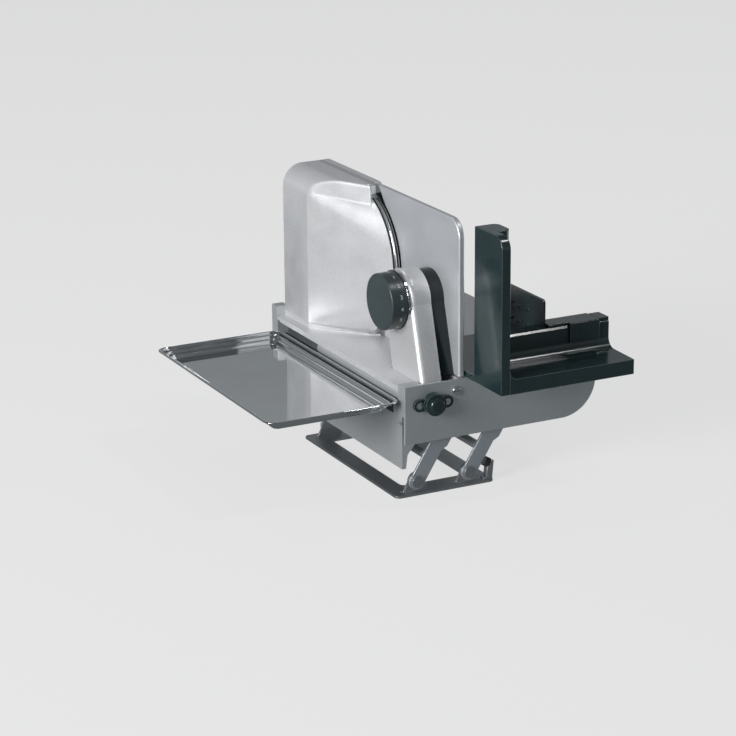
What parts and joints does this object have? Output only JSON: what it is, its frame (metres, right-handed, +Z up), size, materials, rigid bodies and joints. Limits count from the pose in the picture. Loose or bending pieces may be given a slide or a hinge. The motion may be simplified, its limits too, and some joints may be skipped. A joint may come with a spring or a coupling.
{
  "type": "built-in food slicer",
  "caption": "Food slicer that folds down into a kitchen drawer: round blade, sliding carriage, thickness dial and tray on a swing linkage.",
  "frame": {"origin": "middle of the base frame's underside, on the drawer floor, between its four screw holes", "axes": "+X right along the machine's front, +Y away from the user into the drawer, +Z up"},
  "size_m": [0.408, 0.4278, 0.3088],
  "materials": {
    "zinc_steel": "satin zinc-plated sheet",
    "arm_paint": "satin grey",
    "steel_pins": "turned steel",
    "fixings": "bright",
    "spring_wire": "spring steel",
    "black_rubber": "matt",
    "plate_grey": "satin grey",
    "silver_paint": "silver metallic sparkle",
    "stop_anodised": "satin anodised",
    "rail_aluminium": "satin",
    "blade_steel": "ground",
    "lock_black": "matt",
    "wheel_polyamide": "moulded",
    "bush_bronze": "sintered",
    "dark_plastic": "gloss black-green",
    "carrier_black": "matt",
    "collar_chrome": "bright",
    "tray_chrome": "polished"
  },
  "bodies": {
    "base": {"base_frame": "zinc_steel", "lower_pivot_pins": "steel_pins", "stop_brackets": "zinc_steel", "rubber_buffers": "black_rubber"},
    "left_arms": {"front_left_arm": "arm_paint", "rear_left_arm": "arm_paint", "left_cross_tube": "arm_paint"},
    "right_arms": {"front_right_arm": "arm_paint", "rear_right_arm": "arm_paint", "right_cross_tube": "arm_paint"},
    "machine": {"cradle_frame": "zinc_steel", "upper_pivot_pins": "steel_pins", "front_plate": "plate_grey", "rear_plate": "plate_grey", "deck": "silver_paint", "deck_screws": "fixings", "guide_rail": "rail_aluminium", "base_cover": "silver_paint", "motor_housing": "silver_paint", "blade_guard": "silver_paint", "gear_plate": "rail_aluminium", "blade_bearing": "bush_bronze", "motor": "steel_pins", "gearbox_bracket": "rail_aluminium", "adjuster_arm": "silver_paint", "guide_rods": "steel_pins", "index_collar": "collar_chrome", "switch_collar": "dark_plastic", "switch_screws": "fixings", "switch_body": "lock_black", "button_spring": "spring_wire", "plate_screw": "fixings", "tray_ledge": "zinc_steel", "cord_grommet": "black_rubber"},
    "blade_drive": {"blade": "blade_steel", "blade_shaft": "steel_pins", "blade_lock_cap": "lock_black", "worm_wheel": "wheel_polyamide"},
    "worm": {"worm_shaft": "steel_pins"},
    "stop": {"plate_carrier": "carrier_black", "stop_plate": "stop_anodised", "stop_plate_screws": "fixings"},
    "dial": {"thickness_dial": "dark_plastic", "dial_spindle": "steel_pins"},
    "button": {"power_button": "dark_plastic"},
    "carriage_body": {"carriage": "dark_plastic", "carriage_glides": "lock_black", "thumb_guard": "lock_black"},
    "food_holder": {"food_holder_slider": "dark_plastic", "pusher_plate": "dark_plastic"},
    "tray_body": {"tray": "tray_chrome"}
  },
  "joints": [
    {"name": "left_arm_swing", "type": "hinge", "parent": "base", "child": "left_arms", "pos_m": [-0.033, 0, 0.0145], "axis": [0, -1, 0], "range_deg": [0, 90]},
    {"name": "right_arm_swing", "type": "hinge", "parent": "base", "child": "right_arms", "pos_m": [0.033, 0, 0.0145], "axis": [0, -1, 0], "range_deg": [0, 90]},
    {"name": "cradle_level", "type": "hinge", "parent": "left_arms", "child": "machine", "pos_m": [0.0078, 0, 0.0798], "axis": [0, -1, 0], "range_deg": [-90, 0]},
    {"name": "blade_spin", "type": "hinge", "parent": "machine", "child": "blade_drive", "pos_m": [0.02, 0.104, 0.2138], "axis": [1, 0, 0], "continuous": true},
    {"name": "worm_spin", "type": "hinge", "parent": "machine", "child": "worm", "pos_m": [-0.0095, 0.1292, 0.2138], "axis": [0, 0, 1], "continuous": true},
    {"name": "plate_slide", "type": "slide", "parent": "machine", "child": "stop", "axis": [-1, 0, 0], "range_m": [0, 0.014]},
    {"name": "dial_turn", "type": "hinge", "parent": "machine", "child": "dial", "pos_m": [-0.04, -0.0525, 0.2083], "axis": [-1, 0, 0], "range_deg": [0, 290]},
    {"name": "button_press", "type": "slide", "parent": "machine", "child": "button", "axis": [0, 1, 0], "range_m": [0, 0.0035], "stiffness_N_per_m": 500, "springref_m": -0.002, "deforming": ["button_spring"]},
    {"name": "carriage_slide", "type": "slide", "parent": "machine", "child": "carriage_body", "axis": [0, 1, 0], "range_m": [0, 0.205]},
    {"name": "food_holder_slide", "type": "slide", "parent": "carriage_body", "child": "food_holder", "axis": [-1, 0, 0], "range_m": [0, 0.07]},
    {"name": "tray_lift", "type": "slide", "parent": "machine", "child": "tray_body", "axis": [0, 0, 1], "range_m": [0, 0.06]}
  ],
  "couplings": [
    {"joint": "right_arm_swing", "follows": "left_arm_swing", "ratio": 1},
    {"joint": "cradle_level", "follows": "left_arm_swing", "ratio": -1},
    {"joint": "worm_spin", "follows": "blade_spin", "ratio": -24},
    {"joint": "dial_turn", "follows": "plate_slide", "rad_per_m": 361.5}
  ]
}
